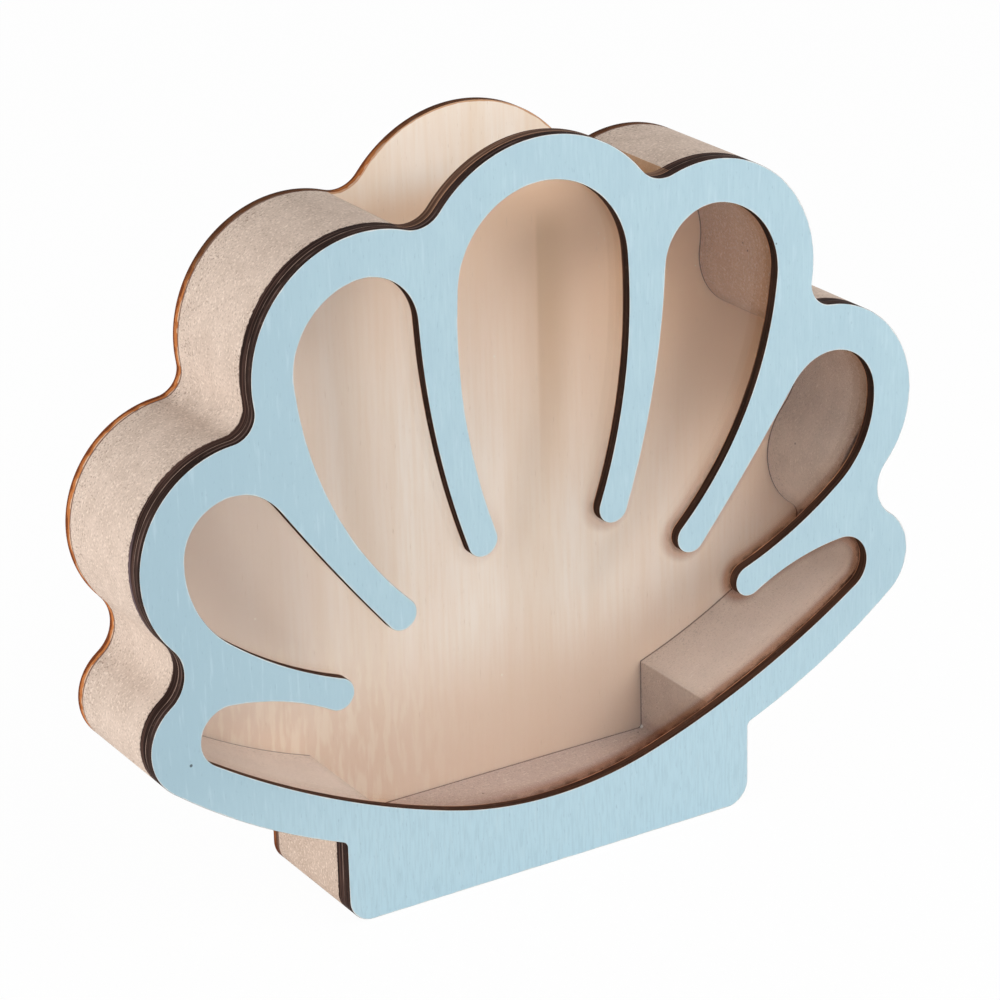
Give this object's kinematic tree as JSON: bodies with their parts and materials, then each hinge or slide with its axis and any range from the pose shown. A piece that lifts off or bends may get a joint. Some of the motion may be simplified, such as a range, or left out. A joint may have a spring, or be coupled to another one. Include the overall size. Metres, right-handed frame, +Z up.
{
  "type": "display case",
  "caption": "Scallop-shaped tabletop display case with a ribbed window in a painted front, a clear pane, a deep body open at the crown and a plain back.",
  "frame": {"origin": "under the middle of the foot, on the surface that the case stands on, halfway through its depth", "axes": "+X to the right as seen from the front, +Y from the front to the back, +Z up; the front panel faces -Y"},
  "size_m": [0.24, 0.0426, 0.207],
  "materials": {
    "painted_plywood": "pale blue paint over fine grain, with dark laser-burnt edges",
    "adhesive_film": "matt",
    "clear_acrylic": "clear, polished faces and dark cut edges",
    "fibreboard": "raw, speckled",
    "birch_plywood": "raw, fine upright grain, with brown laser-burnt edges"
  },
  "bodies": {
    "root": {"front_panel": "painted_plywood", "front_adhesive": "adhesive_film", "window_pane": "clear_acrylic", "pane_adhesive": "adhesive_film", "routed_body": "fibreboard", "back_panel": "birch_plywood"}
  },
  "joints": []
}
